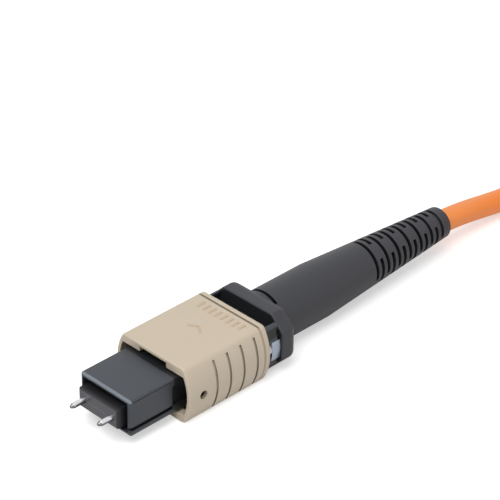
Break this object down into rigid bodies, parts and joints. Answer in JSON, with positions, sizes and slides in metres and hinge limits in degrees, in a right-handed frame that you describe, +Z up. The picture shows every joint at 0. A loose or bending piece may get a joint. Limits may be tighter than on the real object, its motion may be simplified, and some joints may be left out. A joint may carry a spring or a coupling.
{
  "type": "fibre optic connector",
  "caption": "Male multi-fibre push-on connector: rectangular ferrule with guide pins, sliding grip sleeve, slotted bend boot and round cable.",
  "frame": {"origin": "centre of the ferrule's polished end face, on the optical axis", "axes": "+X along the plug from the end face towards the cable, +Z up with the key underneath, +Y to the left seen from the cable end"},
  "size_m": [0.1426, 0.0266, 0.0092],
  "materials": {
    "ferrule": "fine moulded, polished end face",
    "pin_steel": "ground",
    "clamp_plastic": "moulded",
    "sleeve_rubber": "matt",
    "ribbon": "smooth",
    "spring_steel": "drawn wire",
    "housing_black": "moulded, satin",
    "coupler_beige": "moulded, satin",
    "adhesive": "cured epoxy",
    "fibres": "smooth",
    "yarn": "loose yarn",
    "crimp_metal": "nickel plated",
    "boot_black": "moulded, satin",
    "jacket_orange": "extruded, satin",
    "tie_fabric": "hook and loop"
  },
  "bodies": {
    "plug": {"ferrule_spring": "spring_steel", "inner_housing": "housing_black", "coupler_spring_left": "spring_steel", "coupler_spring_right": "spring_steel", "spring_push": "housing_black", "fibre_bundle": "fibres", "aramid_yarn": "yarn", "crimp_ring": "crimp_metal", "boot": "boot_black", "cable_jacket": "jacket_orange", "cable_hank": "jacket_orange", "hank_tie_left": "tie_fabric", "hank_tie_right": "tie_fabric"},
    "sleeve": {"coupler": "coupler_beige"},
    "floating_ferrule": {"mt_ferrule": "ferrule", "guide_pin_left": "pin_steel", "guide_pin_right": "pin_steel", "pin_clamp": "clamp_plastic", "ferrule_boot": "sleeve_rubber", "fibre_ribbon": "ribbon", "window_adhesive": "adhesive"}
  },
  "joints": [
    {"name": "sleeve_slide", "type": "slide", "parent": "plug", "child": "sleeve", "axis": [1, 0, 0], "range_m": [0, 0.002], "stiffness_N_per_m": 800, "springref_m": -0.005, "deforming": ["coupler_spring_left", "coupler_spring_right"]},
    {"name": "ferrule_float", "type": "slide", "parent": "plug", "child": "floating_ferrule", "axis": [1, 0, 0], "range_m": [0, 0.0006], "stiffness_N_per_m": 3000, "springref_m": -0.0027, "deforming": ["ferrule_spring"]}
  ]
}
